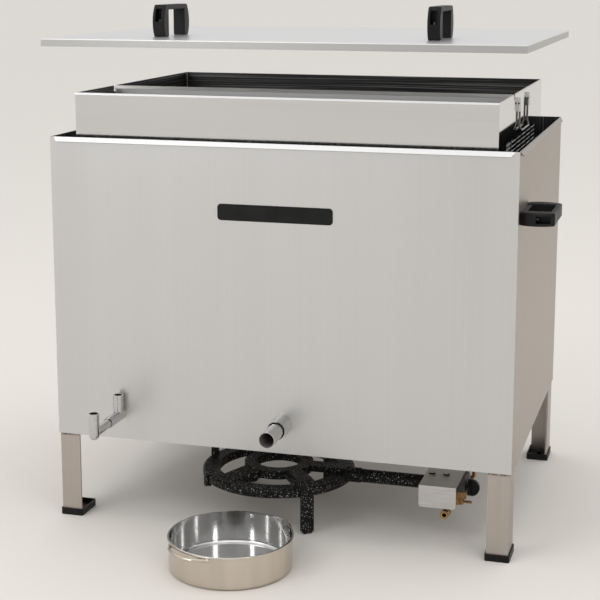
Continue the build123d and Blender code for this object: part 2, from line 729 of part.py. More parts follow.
port_angles = [angle for angle in range(0, 360, port_pitch_angle) if clear_of_legs(angle)]
with BuildPart() as burner_casting:
    with BuildSketch(burner_plane):
        Circle(ring_radius)
        Circle(ring_inner, mode=Mode.SUBTRACT)
    extrude(amount=ring_height)
    outer_edges = burner_casting.edges().filter_by(GeomType.CIRCLE).sort_by(SortBy.RADIUS)[-2:]
    fillet(outer_edges, radius=ring_edge)
    with BuildSketch(hub_top_plane):
        Circle(hub_radius)
        Circle(hub_radius - hub_band, mode=Mode.SUBTRACT)
    extrude(amount=-hub_height)
    for angle, width in web_widths.items():
        outwards = Vector(cos(radians(angle)), sin(radians(angle)), 0)
        across = Vector(sin(radians(angle)), -cos(radians(angle)), 0)
        with BuildSketch(Plane((burner_x, burner_y, 0), x_dir=outwards, z_dir=across)):
            with BuildLine():
                Polyline(
                    (hub_middle, hub_foot),
                    (hub_middle, hub_top),
                    (ring_middle, ring_top),
                    (ring_middle, ring_above_floor),
                    close=True,
                )
            make_face()
        extrude(amount=width / 2, both=True)
    with BuildSketch(hub_top_plane):
        with Locations(((hub_middle + ring_middle + duct_into_ring) / 2, 0)):
            Rectangle(ring_middle + duct_into_ring - hub_middle, duct_width)
    extrude(amount=-duct_height)
    with BuildSketch(burner_top):
        for angle in burner_leg_angles.values():
            with PolarLocations(ring_middle, 1, start_angle=angle):
                Rectangle(leg_pad_size, leg_pad_size)
    extrude(amount=leg_pad_height)
    with BuildSketch(arm_plane.offset(ring_middle)):
        Circle(arm_boss_radius)
    extrude(amount=arm_end - ring_middle)
    with BuildSketch(arm_plane.offset(ring_middle)):
        Circle(mixer_bore)
    extrude(amount=arm_end - ring_middle, mode=Mode.SUBTRACT)
    with BuildSketch(burner_top.offset(-ring_edge)):
        with PolarLocations(ring_radius - lug_width / 2, 1, start_angle=raised_lug_angle):
            Rectangle(lug_width, lug_width)
    extrude(amount=ring_edge + raised_lug_proud)
    with BuildSketch(burner_top):
        with PolarLocations(ring_radius, 1, start_angle=hanging_lug_angle):
            Rectangle(lug_width, lug_width)
    extrude(amount=-ring_height - hanging_lug_proud)
    with BuildSketch(burner_top):
        for angle in port_angles:
            with PolarLocations(ring_middle, 1, start_angle=angle):
                Circle(port_radius)
    extrude(amount=-port_depth, mode=Mode.SUBTRACT)
    with BuildSketch(hub_top_plane):
        with PolarLocations(hub_middle, hub_ports, start_angle=180 / hub_ports):
            Circle(port_radius)
    extrude(amount=-port_depth, mode=Mode.SUBTRACT)
    with BuildSketch(burner_plane):
        for angle in burner_leg_angles.values():
            with PolarLocations(ring_middle, 1, start_angle=angle):
                Circle(bolt_radius + screw_clearance)
    extrude(amount=ring_height + leg_pad_height, mode=Mode.SUBTRACT)
save(burner_casting, "burner_casting")

# Burner legs: flat bar lying on a pad of the ring and bent down outside it
leg_inner = ring_radius + burner_leg_gap
leg_outer = leg_inner + burner_leg_thickness
half_leg = burner_leg_width / 2
for place, angle in burner_leg_angles.items():
    radial = Vector(cos(radians(angle)), sin(radians(angle)), 0)
    tangent = Vector(-sin(radians(angle)), cos(radians(angle)), 0)
    centre = Vector(burner_x, burner_y, 0)
    with BuildPart() as burner_leg:
        with BuildSketch(Plane(centre + radial * leg_inner, x_dir=tangent, z_dir=radial)):
            with BuildLine():
                Polyline(
                    (half_leg, leg_seat + burner_leg_thickness),
                    (half_leg, burner_leg_corner),
                    (half_leg - burner_leg_corner, 0),
                    (burner_leg_corner - half_leg, 0),
                    (-half_leg, burner_leg_corner),
                    (-half_leg, leg_seat + burner_leg_thickness),
                    close=True,
                )
            make_face()
        extrude(amount=burner_leg_thickness)
        with BuildSketch(Plane(centre + Vector(0, 0, leg_seat), x_dir=radial, z_dir=(0, 0, 1))):
            with Locations(((burner_leg_reach + leg_outer) / 2, 0)):
                Rectangle(leg_outer - burner_leg_reach, burner_leg_width)
        extrude(amount=burner_leg_thickness)
        with BuildSketch(Plane(centre + Vector(0, 0, leg_seat), x_dir=radial, z_dir=(0, 0, 1))):
            with Locations((ring_middle, 0)):
                Circle(bolt_radius + screw_clearance)
        extrude(amount=bolt_bite, mode=Mode.SUBTRACT)
    save(burner_leg, f"burner_{place}_leg")

with BuildPart() as burner_leg_bolts:
    for angle in burner_leg_angles.values():
        with BuildSketch(burner_plane):
            with PolarLocations(ring_middle, 1, start_angle=angle):
                Circle(bolt_radius)
        extrude(amount=ring_height + leg_pad_height + bolt_bite)
        with BuildSketch(burner_plane):
            with PolarLocations(ring_middle, 1, start_angle=angle):
                RegularPolygon(radius=bolt_head_radius, side_count=6)
        extrude(amount=-bolt_head_height)
save(burner_leg_bolts, "burner_leg_bolts")

# Mixer tube with a square collar under the shield, then the jet, the valve and the hose nozzle
shield_under = shield_above_floor - shield_sheet
mixer_end = arm_end + mixer_length
valve_start = mixer_end + jet_gap
valve_end = valve_start + valve_length
valve_foot = arm_above_floor - valve_below_arm
stem_z = arm_above_floor - stem_below_arm
stem_plane = Plane((burner_x, burner_y, stem_z), x_dir=(0, 1, 0), z_dir=(1, 0, 0))
collar_screw = mixer_end - collar_length / 2
valve_screw = valve_start + valve_screw_inset
top_half = shield_under - arm_above_floor
screw_row_y = burner_y - shield_screw_forward
with BuildPart() as mixer_tube:
    with BuildSketch(arm_plane.offset(arm_end)):
        Circle(mixer_radius)
    extrude(amount=mixer_length)
    with BuildSketch(arm_plane.offset(mixer_end - collar_length)):
        with Locations((0, top_half / 2)):
            Rectangle(collar_width, top_half)
    extrude(amount=collar_length)
    with BuildSketch(arm_plane.offset(arm_end)):
        Circle(mixer_bore)
    extrude(amount=mixer_length, mode=Mode.SUBTRACT)
    with BuildSketch(Plane((burner_x + collar_screw, screw_row_y, shield_under))):
        Circle(shield_screw_radius + screw_clearance)
    extrude(amount=-shield_screw_bite, mode=Mode.SUBTRACT)
save(mixer_tube, "mixer_tube")

with BuildPart() as gas_jet:
    with BuildSketch(arm_plane.offset(mixer_end - jet_into_mixer)):
        Circle(jet_radius)
    extrude(amount=jet_gap + jet_into_mixer)
save(gas_jet, "gas_jet")

with BuildPart() as valve_body:
    with BuildSketch(arm_plane.offset(valve_start)):
        with Locations((0, (top_half - valve_below_arm) / 2)):
            Rectangle(valve_width, top_half + valve_below_arm)
    extrude(amount=valve_length)
    chamfer(valve_body.edges().filter_by(Axis.X), length=valve_edge)
    with BuildSketch(stem_plane.offset(valve_end)):
        Circle(stem_radius)
    extrude(amount=stem_length)
    with BuildSketch(Plane((burner_x + valve_screw, screw_row_y, shield_under))):
        Circle(shield_screw_radius + screw_clearance)
    extrude(amount=-shield_screw_bite, mode=Mode.SUBTRACT)
save(valve_body, "valve_body")

with BuildPart() as valve_knob:
    with BuildSketch(stem_plane.offset(valve_end + knob_gap)):
        Circle(knob_radius)
    extrude(amount=knob_disc)
    fin_x = burner_x + valve_end + knob_gap + knob_disc
    with BuildSketch(Plane((fin_x, burner_y, stem_z), x_dir=(1, 0, 0), z_dir=(0, -1, 0))):
        with BuildLine():
            ThreePointArc((0, -knob_radius), (knob_radius, 0), (0, knob_radius))
            Line((0, knob_radius), (0, -knob_radius))
        make_face()
    extrude(amount=knob_fin / 2, both=True)
    with BuildSketch(stem_plane.offset(valve_end + knob_gap)):
        Circle(stem_radius + knob_clearance)
    extrude(amount=stem_length - knob_gap + knob_clearance, mode=Mode.SUBTRACT)
save(valve_knob, "valve_knob")

# Shield: a plate over the valve with its front edge turned down and its lower corners rounded
shield_x = burner_x + valve_end - shield_inset - shield_width / 2
with BuildPart() as valve_shield:
    with BuildSketch(Plane((shield_x, burner_y, 0), x_dir=(0, 1, 0), z_dir=(1, 0, 0))):
        with Locations(((shield_back - shield_front) / 2, shield_above_floor - shield_sheet / 2)):
            Rectangle(shield_front + shield_back, shield_sheet)
        with Locations((-shield_front + shield_sheet / 2, shield_above_floor - shield_flange / 2)):
            Rectangle(shield_sheet, shield_flange)
    extrude(amount=shield_width / 2, both=True)
    lower_corners = valve_shield.edges().filter_by(Axis.Y).group_by(Axis.Z)[0]
    fillet(lower_corners, radius=shield_corner)
    with BuildSketch(Plane((burner_x, screw_row_y, shield_above_floor))):
        with Locations((collar_screw, 0), (valve_screw, 0)):
            Circle(shield_screw_radius + screw_clearance)
    extrude(amount=-shield_sheet, mode=Mode.SUBTRACT)
save(valve_shield, "valve_shield")

with BuildPart() as shield_screws:
    with BuildSketch(Plane((burner_x, screw_row_y, shield_above_floor))):
        with Locations((collar_screw, 0), (valve_screw, 0)):
            Circle(shield_screw_head)
    extrude(amount=shield_screw_height)
    with BuildSketch(Plane((burner_x, screw_row_y, shield_above_floor))):
        with Locations((collar_screw, 0), (valve_screw, 0)):
            Circle(shield_screw_radius)
    extrude(amount=-shield_sheet - shield_screw_bite)
save(shield_screws, "shield_screws")

# Hose nozzle: a hexagon and a round boss under the valve, with a neck forwards to a plain threaded end
union_x = burner_x + valve_end - union_from_end
union_foot = valve_foot - union_height
boss_foot = union_foot - boss_height
nozzle_x = union_x - nozzle_beside_boss
nozzle_z = boss_foot + nozzle_above_boss_foot
nozzle_length = shield_front + nozzle_past_shield
thread_start = nozzle_length - nozzle_thread_length
nipple_z = boss_foot + nipple_above_boss_foot
nozzle_plane = Plane((nozzle_x, burner_y, nozzle_z), x_dir=(1, 0, 0), z_dir=(0, -1, 0))
nipple_plane = Plane((union_x + boss_radius, burner_y, nipple_z), x_dir=(0, 1, 0), z_dir=(1, 0, 0))
with BuildPart() as hose_nozzle:
    with BuildSketch(Plane((union_x, burner_y, valve_foot))):
        RegularPolygon(radius=union_width / 2, side_count=6, major_radius=False, rotation=30)
    extrude(amount=-union_height)
    with BuildSketch(Plane((union_x, burner_y, union_foot))):
        Circle(boss_radius)
    extrude(amount=-boss_height)
    with BuildSketch(nozzle_plane):
        Circle(nozzle_neck_radius)
    extrude(amount=thread_start)
    with BuildSketch(nozzle_plane.offset(thread_start)):
        Circle(nozzle_collar_radius)
    extrude(amount=-nozzle_collar_length)
    with BuildSketch(nozzle_plane.offset(thread_start)):
        Circle(nozzle_thread_radius)
    extrude(amount=nozzle_thread_length)
    chamfer(hose_nozzle.faces().sort_by(Axis.Y)[0].outer_wire().edges(), length=nozzle_tip_edge)
    with BuildSketch(nozzle_plane):
        Circle(nozzle_bore)
    extrude(amount=nozzle_length, mode=Mode.SUBTRACT)
    with BuildSketch(nipple_plane):
        Circle(nipple_radius + screw_clearance)
    extrude(amount=-nipple_bite, mode=Mode.SUBTRACT)
save(hose_nozzle, "hose_nozzle")

# Test nipple: a short pin with a rounded end, screwed into the side of the boss
with BuildPart() as test_nipple:
    with BuildSketch(nipple_plane.offset(-nipple_bite)):
        Circle(nipple_radius)
    extrude(amount=nipple_bite + nipple_reach)
    fillet(test_nipple.edges().sort_by(Axis.X)[-1], radius=nipple_edge)
save(test_nipple, "test_nipple")

# Flame probe lead: copper tube out of the back of the valve, round its end and up
probe_x = burner_x + valve_end - probe_from_end
probe_y = burner_y + valve_width / 2
probe_z = arm_above_floor + probe_above_arm
with BuildPart() as flame_probe_lead:
    with BuildLine() as probe_path:
        FilletPolyline(
            (probe_x, probe_y, probe_z),
            (probe_x, probe_y + probe_rear, probe_z),
            (probe_x + probe_reach, probe_y + probe_rear, probe_z),
            (probe_x + probe_reach, probe_y + probe_rear, probe_z + probe_rise),
            radius=probe_bend,
        )
    with BuildSketch(Plane((probe_x, probe_y, probe_z), x_dir=(1, 0, 0), z_dir=(0, 1, 0))):
        Circle(probe_radius)
    sweep(path=probe_path.line)
save(flame_probe_lead, "flame_probe_lead")

# Catch pan: a straight-sided bowl with a beaded rim and two loop handles of rod
pan_centre = Vector(pan_x, front_y - pan_from_front, 0)
with BuildPart() as catch_pan_bowl:
    with BuildSketch(Plane(pan_centre)):
        Circle(pan_radius)
    extrude(amount=pan_height)
    fillet(catch_pan_bowl.edges().sort_by(Axis.Z)[0], radius=pan_corner)
    offset(amount=-pan_wall, openings=catch_pan_bowl.faces().sort_by(Axis.Z)[-1])
    with BuildSketch(Plane(pan_centre + Vector(0, 0, pan_height))):
        Circle(pan_radius + pan_lip_reach)
        Circle(pan_radius - pan_wall, mode=Mode.SUBTRACT)
    extrude(amount=-pan_lip_height)
    lip_edges = catch_pan_bowl.edges().filter_by(GeomType.CIRCLE).sort_by(SortBy.RADIUS)[-2:]
    fillet(lip_edges, radius=pan_lip_reach / 2)
save(catch_pan_bowl, "catch_pan_bowl")

# Each loop is one bow of rod from root to root, cut off where it meets the wall
loop_z = pan_height - ear_below_rim
for name, middle in (("left", ear_angle), ("right", ear_angle - 180)):
    loop_centre = pan_centre + Vector(0, 0, loop_z)
    first, crown, last = [
        loop_centre + Vector(cos(radians(angle)), sin(radians(angle)), 0) * reach
        for angle, reach in (
            (middle - ear_spread / 2, root_radius),
            (middle, loop_radius),
            (middle + ear_spread / 2, root_radius),
        )
    ]
    with BuildPart() as pan_ear:
        with BuildLine() as loop_path:
            bow = ThreePointArc(first, crown, last)
        with BuildSketch(Plane(first, z_dir=bow % 0)):
            Circle(ear_rod_radius)
        sweep(path=loop_path.line)
        with BuildSketch(Plane(pan_centre)):
            Circle(pan_radius)
        extrude(amount=pan_height, mode=Mode.SUBTRACT)
    save(pan_ear, f"catch_pan_{name}_ear")
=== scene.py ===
import math

import bmesh
import bpy
from mathutils import Matrix, Vector


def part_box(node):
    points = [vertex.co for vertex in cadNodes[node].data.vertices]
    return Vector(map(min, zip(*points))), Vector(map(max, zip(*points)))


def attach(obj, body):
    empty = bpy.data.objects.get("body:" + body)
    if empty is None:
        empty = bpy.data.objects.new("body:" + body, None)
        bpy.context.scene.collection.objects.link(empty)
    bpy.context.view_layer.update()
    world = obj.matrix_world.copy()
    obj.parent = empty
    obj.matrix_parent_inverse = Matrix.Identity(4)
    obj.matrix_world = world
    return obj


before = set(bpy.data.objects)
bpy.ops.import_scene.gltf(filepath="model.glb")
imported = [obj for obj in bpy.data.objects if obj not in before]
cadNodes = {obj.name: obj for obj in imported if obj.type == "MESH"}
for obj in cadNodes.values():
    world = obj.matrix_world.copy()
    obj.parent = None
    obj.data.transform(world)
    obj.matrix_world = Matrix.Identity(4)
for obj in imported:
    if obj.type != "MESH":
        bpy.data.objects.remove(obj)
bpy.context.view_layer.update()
print("frame loaded:", len(cadNodes), "nodes")

# the eye stands to the right of the melter's middle, a little higher than the lid's handles
cameraSet = {
    "place": (0.6544, -2.2757, 0.8943),
    "turn": 16.196,  # degrees to the left
    "tilt": -10.468,  # degrees above level
    "sensor": 36,
    "lens": 87.237,
    "shiftY": -0.1,
    "farthest": 200,
}
camera = bpy.data.objects.new("camera", bpy.data.cameras.new("camera"))
camera.data.sensor_width = cameraSet["sensor"]
camera.data.lens = cameraSet["lens"]
camera.data.shift_y = cameraSet["shiftY"]
camera.data.clip_end = cameraSet["farthest"]
camera.matrix_world = (
    Matrix.Translation(cameraSet["place"])
    @ Matrix.Rotation(math.radians(cameraSet["turn"]), 4, "Z")
    @ Matrix.Rotation(math.radians(90 + cameraSet["tilt"]), 4, "X")
)
bpy.context.scene.collection.objects.link(camera)
bpy.context.scene.camera = camera
bpy.context.scene.view_settings.view_transform = "Standard"
print("camera set")


# node helpers, whose owner is a material or the world
def addNode(owner, kind, **settings):
    node = owner.node_tree.nodes.new(kind)
    for name, value in settings.items():
        setattr(node, name, value)
    return node


# an input takes another node's output, or a plain number, vector or colour
def feed(owner, target, source):
    if isinstance(source, bpy.types.NodeSocket):
        owner.node_tree.links.new(source, target)
    elif target.type == "RGBA":
        target.default_value = (*source, 1)
    else:
        target.default_value = source


def feedAll(owner, node, sources):
    for name, source in sources.items():
        feed(owner, node.inputs[name], source)


# from here to roughen, each helper adds its node and hands back the output socket
def coordinates(owner, kind):
    return addNode(owner, "ShaderNodeTexCoord").outputs[kind]


def oneAxis(owner, vector, axis):
    parts = addNode(owner, "ShaderNodeSeparateXYZ")
    feed(owner, parts.inputs["Vector"], vector)
    return parts.outputs[axis]


def calculate(owner, operation, *values):
    node = addNode(owner, "ShaderNodeMath", operation=operation)
    feedAll(owner, node, dict(enumerate(values)))
    return node.outputs["Value"]


def combine(owner, operation, first, second):
    node = addNode(owner, "ShaderNodeVectorMath", operation=operation)
    feedAll(owner, node, {0: first, 1: second})
    return node.outputs["Value" if operation == "DOT_PRODUCT" else "Vector"]


# a Mix node's sockets share their names, so each kind is known by its places
mixPlaces = {"FLOAT": {"first": 2, "second": 3, "result": 0}, "RGBA": {"first": 6, "second": 7, "result": 2}}


def mix(owner, kind, share, first, second):
    node = addNode(owner, "ShaderNodeMix", data_type=kind)
    places = mixPlaces[kind]
    feedAll(owner, node, {0: share, places["first"]: first, places["second"]: second})
    return node.outputs[places["result"]]


# noise on Object coordinates, stretched by scale
def stretchedNoise(owner, scale, detail=4.0):
    stretch = addNode(owner, "ShaderNodeMapping")
    feedAll(owner, stretch, {"Vector": coordinates(owner, "Object"), "Scale": scale})
    noise = addNode(owner, "ShaderNodeTexNoise")
    feedAll(owner, noise, {"Vector": stretch.outputs["Vector"], "Scale": 1.0, "Detail": detail})
    return noise.outputs["Fac"]


def ramp(owner, source, low, high, start=0.3, end=0.7):
    colours = addNode(owner, "ShaderNodeValToRGB")
    for stop, position, colour in zip(colours.color_ramp.elements, (start, end), (low, high)):
        stop.position = position
        stop.color = (*colour, 1)
    feed(owner, colours.inputs["Fac"], source)
    return colours.outputs["Color"]


def spread(owner, source, low, high, start=0.25, end=0.75):
    between = addNode(owner, "ShaderNodeMapRange")
    feedAll(owner, between, {"Value": source, "From Min": start, "From Max": end})
    feedAll(owner, between, {"To Min": low, "To Max": high})
    return between.outputs["Result"]


def roughen(owner, height, strength, depth):
    bump = addNode(owner, "ShaderNodeBump")
    feedAll(owner, bump, {"Height": height, "Strength": strength, "Distance": depth})
    return bump.outputs["Normal"]


# a noise scale that is drawn out along one axis
def alongAxis(axis, lengthwise, crosswise):
    scale = [crosswise] * 3
    scale["XYZ".index(axis)] = lengthwise
    return scale


# how far a face looks away from a line through middle; flatten is 0 along the line's axis
def lookingOut(owner, middle, flatten):
    fromMiddle = combine(owner, "SUBTRACT", coordinates(owner, "Object"), middle)
    fromLine = combine(owner, "MULTIPLY", fromMiddle, flatten)
    return combine(owner, "DOT_PRODUCT", fromLine, coordinates(owner, "Normal"))


def startMaterial(name):
    material = bpy.data.materials.new(name)
    material.use_nodes = True
    return material


def finishMaterial(material, sources):
    feedAll(material, material.node_tree.nodes["Principled BSDF"], sources)
    return material


def dress(material, *names):
    for name in names:
        for slot in cadNodes[name].material_slots:
            slot.material = material


# brushed sheet: fine scratches and broad bands run along one axis, faces that look upwards get a painted
# highlight, and the inward faces are painted dark as painted shade and reflection of the tank's dark inside
tankSheet = {
    "bright": (0.605, 0.603, 0.60),
    "dull": (0.58, 0.578, 0.575),
    "shading": (0.35, 0.65),  # grain levels where dull ends and bright begins
    "roughness": (0.34, 0.42),
    # painted highlight: faces that look upwards get this pale colour
    "edge": (0.82, 0.82, 0.815),
    "edgeRoughness": 0.5,
    "edgeTurn": 0.5,  # a face whose normal rises more than this is an edge
    # painted shade and reflection: the dark colours given to inward faces
    "paintedInsideDark": (0.05, 0.05, 0.05),
    "paintedInsideStreak": (0.30, 0.30, 0.29),
    "insideShading": (0.5, 0.75),
    "insideRoughness": 0.4,
    "insideTurn": -0.01,  # a face that looks out by less than this looks inwards
    "scratch": (1.2, 420.0),  # along and across the brushing, per metre
    "band": (0.4, 14.0),
    "bandDetail": 2.0,
    "bandShare": 0.5,
    "bump": 0.03,
    "bumpDepth": 0.0002,
}
# painted reflection: the end panels are darker and warmer than the same steel at front and rear
endSheet = {
    **tankSheet,
    "bright": (0.43, 0.38, 0.335),
    "dull": (0.40, 0.352, 0.308),
    "edge": (0.50, 0.465, 0.43),
}
floorSheet = {**tankSheet, "edge": None}
boxSheet = {
    **tankSheet,
    "bright": (0.74, 0.74, 0.735),
    "dull": (0.70, 0.70, 0.694),
    "roughness": (0.10, 0.16),
    "edge": (0.93, 0.93, 0.925),
    "paintedInsideDark": (0.06, 0.06, 0.06),
    "paintedInsideStreak": (0.42, 0.42, 0.41),
    "scratch": (2.5, 460.0),
    "band": (0.6, 22.0),
    "bump": 0.02,
}
boxEndSheet = {**boxSheet, "roughness": (0.03, 0.06)}
boxFloorSheet = {**boxSheet, "edge": None}
# painted highlight: the partition is paler than the box walls of the same steel
partitionSheet = {
    **boxSheet,
    "bright": (0.91, 0.91, 0.905),
    "dull": (0.85, 0.85, 0.844),
    "roughness": (0.45, 0.55),
}
# painted light: the lid panel is paler than the tank's sheet, as it faces the light overhead
lidSheet = {
    **tankSheet,
    "bright": (0.87, 0.87, 0.865),
    "dull": (0.84, 0.84, 0.834),
    "roughness": (0.28, 0.36),
    "edge": None,
    "paintedInsideDark": (0.10, 0.10, 0.10),
    "bump": 0.02,
}
# painted shade: the lid's edge strips are darker than the lid panel, as they face forwards and not up
lidEdgeSheet = {**lidSheet, "bright": (0.47, 0.47, 0.465), "dull": (0.44, 0.44, 0.435)}
tankLow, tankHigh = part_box("tank_floor")
tankMiddle = (tankLow + tankHigh) / 2


def brushedSheet(name, axis, look):
    material = startMaterial(name)
    scratch = stretchedNoise(material, alongAxis(axis, *look["scratch"]))
    band = stretchedNoise(material, alongAxis(axis, *look["band"]), look["bandDetail"])
    grain = mix(material, "FLOAT", look["bandShare"], scratch, band)
    outer = ramp(material, grain, look["dull"], look["bright"], *look["shading"])
    # painted shade and reflection: inward faces are painted dark with faint light streaks
    paintedInside = ramp(material, scratch, look["paintedInsideDark"], look["paintedInsideStreak"], *look["insideShading"])
    # a face looks inwards where its normal points back to the upright line in the tank's middle
    facing = lookingOut(material, tankMiddle, (1, 1, 0))
    inwards = calculate(material, "LESS_THAN", facing, look["insideTurn"])
    colour = mix(material, "RGBA", inwards, outer, paintedInside)
    brushed = spread(material, grain, *look["roughness"])
    finish = mix(material, "FLOAT", inwards, brushed, look["insideRoughness"])
    # painted highlight: faces that look upwards are painted pale
    if look["edge"]:
        rise = oneAxis(material, coordinates(material, "Normal"), "Z")
        upwards = calculate(material, "GREATER_THAN", rise, look["edgeTurn"])
        colour = mix(material, "RGBA", upwards, colour, look["edge"])
        finish = mix(material, "FLOAT", upwards, finish, look["edgeRoughness"])
    return finishMaterial(material, {
        "Metallic": 1.0,
        "Base Color": colour,
        "Roughness": finish,
        "Normal": roughen(material, scratch, look["bump"], look["bumpDepth"]),
    })


dress(brushedSheet("tankSheet", "Z", tankSheet), "tank_front_panel", "tank_rear_panel")
dress(brushedSheet("tankEndSheet", "Z", endSheet), "tank_left_panel", "tank_right_panel")
dress(brushedSheet("tankFloorSheet", "X", floorSheet), "tank_floor", "left_ledge", "right_ledge")
dress(brushedSheet("boxSheet", "X", boxSheet), "box_front_wall", "box_rear_wall")
dress(brushedSheet("boxEndSheet", "Y", boxEndSheet), "box_left_wall", "box_right_wall")
dress(brushedSheet("boxFloorSheet", "X", boxFloorSheet), "box_floor")
dress(brushedSheet("partitionSheet", "X", partitionSheet), "box_partition")
dress(brushedSheet("lidSheet", "X", lidSheet), "lid_panel")
dress(brushedSheet("lidEdge", "X", lidEdgeSheet), "lid_edge_strips")

# angle legs: warm grey steel with a brown tint of heat along the weld at the top
legSet = {
    "steel": (0.485, 0.437, 0.40),
    "dull": (0.42, 0.38, 0.347),
    "grain": (420, 420, 2),
    "roughness": (0.34, 0.5),
    "tint": (0.05, 0.028, 0.016),
    "weldZ": 0.142,
    "tintDepth": 0.005,
    "tintShare": 1.7,
    "blotch": (190, 190, 190),
    "blotchDetail": 3.0,
    "bump": 0.05,
    "bumpDepth": 0.0002,
}


def weldedLeg(name, look):
    material = startMaterial(name)
    grain = stretchedNoise(material, look["grain"])
    steel = ramp(material, grain, look["dull"], look["steel"])
    height = oneAxis(material, coordinates(material, "Object"), "Z")
    nearWeld = spread(material, height, 0.0, 1.0, look["weldZ"] - look["tintDepth"], look["weldZ"])
    blotch = stretchedNoise(material, look["blotch"], look["blotchDetail"])
    tinted = calculate(material, "MULTIPLY", nearWeld, spread(material, blotch, 0.0, look["tintShare"]))
    return finishMaterial(material, {
        "Metallic": 1.0,
        "Base Color": mix(material, "RGBA", tinted, steel, look["tint"]),
        "Roughness": spread(material, grain, *look["roughness"]),
        "Normal": roughen(material, grain, look["bump"], look["bumpDepth"]),
    })


dress(weldedLeg("weldedLeg", legSet), "front_left_leg", "front_right_leg", "rear_left_leg", "rear_right_leg")
print("sheet metal dressed")

# drawn tube and rod, screws, brass, copper and the dull shield: one recipe, several finishes
metalSets = {
    "drawnTube": {"low": (0.48, 0.477, 0.47), "high": (0.58, 0.577, 0.57), "roughness": (0.16, 0.24),
                  "grain": (420, 12, 420), "bump": 0.03},
    # painted reflection: the rods are nearly black, standing in for the dark tank inside they reflect
    "drawnRod": {"low": (0.10, 0.10, 0.098), "high": (0.17, 0.17, 0.165), "roughness": (0.14, 0.22),
                 "grain": (200, 200, 30), "bump": 0.03},
    "weldedEye": {"low": (0.52, 0.52, 0.51), "high": (0.64, 0.64, 0.63), "roughness": (0.24, 0.34),
                  "grain": (200, 200, 30), "bump": 0.03},
    "platedScrew": {"low": (0.46, 0.455, 0.44), "high": (0.60, 0.595, 0.58), "roughness": (0.28, 0.42),
                    "grain": (300, 300, 300), "bump": 0.05},
    # painted shade: the screws sunk in the handle pockets are dark where the pockets shade them
    "sunkScrew": {"low": (0.06, 0.06, 0.058), "high": (0.13, 0.13, 0.126), "roughness": (0.35, 0.5),
                  "grain": (300, 300, 300), "bump": 0.05},
    "shieldSheet": {"low": (0.50, 0.49, 0.475), "high": (0.62, 0.61, 0.595), "roughness": (0.36, 0.5),
                    "grain": (18, 240, 240), "bump": 0.05},
    "darkValve": {"low": (0.06, 0.06, 0.06), "high": (0.14, 0.14, 0.14), "roughness": (0.4, 0.6),
                  "grain": (180, 180, 180), "bump": 0.15},
    # painted reflection: the bracket's pale warm colour stands in for the floor it reflects
    "paleStrip": {"low": (0.62, 0.60, 0.57), "high": (0.76, 0.74, 0.71), "roughness": (0.55, 0.7),
                  "grain": (100, 100, 100), "bump": 0.05},
    "brassFitting": {"low": (0.20, 0.11, 0.045), "high": (0.52, 0.32, 0.145), "roughness": (0.22, 0.4),
                     "grain": (120, 200, 120), "bump": 0.10},
    "copperTube": {"low": (0.26, 0.125, 0.06), "high": (0.50, 0.27, 0.14), "roughness": (0.25, 0.45),
                   "grain": (150, 150, 150), "bump": 0.05},
}
metalBumpDepth = 0.0003


def workedMetal(name):
    look = metalSets[name]
    material = startMaterial(name)
    grain = stretchedNoise(material, look["grain"])
    return finishMaterial(material, {
        "Metallic": 1.0,
        "Base Color": ramp(material, grain, look["low"], look["high"]),
        "Roughness": spread(material, grain, *look["roughness"]),
        "Normal": roughen(material, grain, look["bump"], metalBumpDepth),
    })


finishes = {name: workedMetal(name) for name in metalSets}
dress(finishes["drawnTube"], "level_socket", "level_elbow")
dress(finishes["drawnRod"], "box_left_drop_handle", "box_right_drop_handle")
dress(finishes["weldedEye"], "box_handle_eyes")
dress(finishes["platedScrew"], "tank_handle_nuts", "lid_handle_nuts", "burner_leg_bolts")
dress(finishes["sunkScrew"], "tank_handle_screws", "lid_handle_screws")
dress(finishes["shieldSheet"], "valve_shield")
dress(finishes["darkValve"], "valve_body")
dress(finishes["brassFitting"], "hose_nozzle", "gas_jet")
dress(finishes["copperTube"], "flame_probe_lead", "test_nipple")

# wax outlet: drawn tube whose bore faces get a matt grey, non-metal colour, painted light so the bore reads
# lighter
outletSet = {
    **metalSets["drawnTube"],
    "borePaint": (0.17, 0.165, 0.155),
    "borePaintRoughness": 0.8,
    "borePaintMetallic": 0.0,
    "boreTurn": -0.001,  # a face that looks out by less than this is in the bore
}


def paintedBoreTube(name, look):
    low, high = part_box("wax_spout")
    material = startMaterial(name)
    grain = stretchedNoise(material, look["grain"])
    steel = ramp(material, grain, look["low"], look["high"])
    facing = lookingOut(material, (low + high) / 2, (1, 0, 1))
    bore = calculate(material, "LESS_THAN", facing, look["boreTurn"])
    drawn = spread(material, grain, *look["roughness"])
    return finishMaterial(material, {
        # painted light: the bore's faces get the matt grey colour
        "Metallic": mix(material, "FLOAT", bore, 1.0, look["borePaintMetallic"]),
        "Base Color": mix(material, "RGBA", bore, steel, look["borePaint"]),
        "Roughness": mix(material, "FLOAT", bore, drawn, look["borePaintRoughness"]),
        "Normal": roughen(material, grain, look["bump"], metalBumpDepth),
    })


dress(paintedBoreTube("paintedBoreTube", outletSet), "wax_outlet_socket", "wax_spout")

# spun pan: painted light makes it lighter inside, where light falls, than outside; the outside is a little
# straw coloured
panSet = {
    "inside": ((0.60, 0.597, 0.59), (0.70, 0.697, 0.69)),
    "outside": ((0.56, 0.50, 0.435), (0.64, 0.575, 0.50)),
    "outsideTurn": 0.02,  # a face that looks out by more than this is on the outside
    "roughness": (0.09, 0.15),
    "grain": (40, 40, 4),
    "bump": 0.012,
}
panLow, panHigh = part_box("catch_pan_bowl")


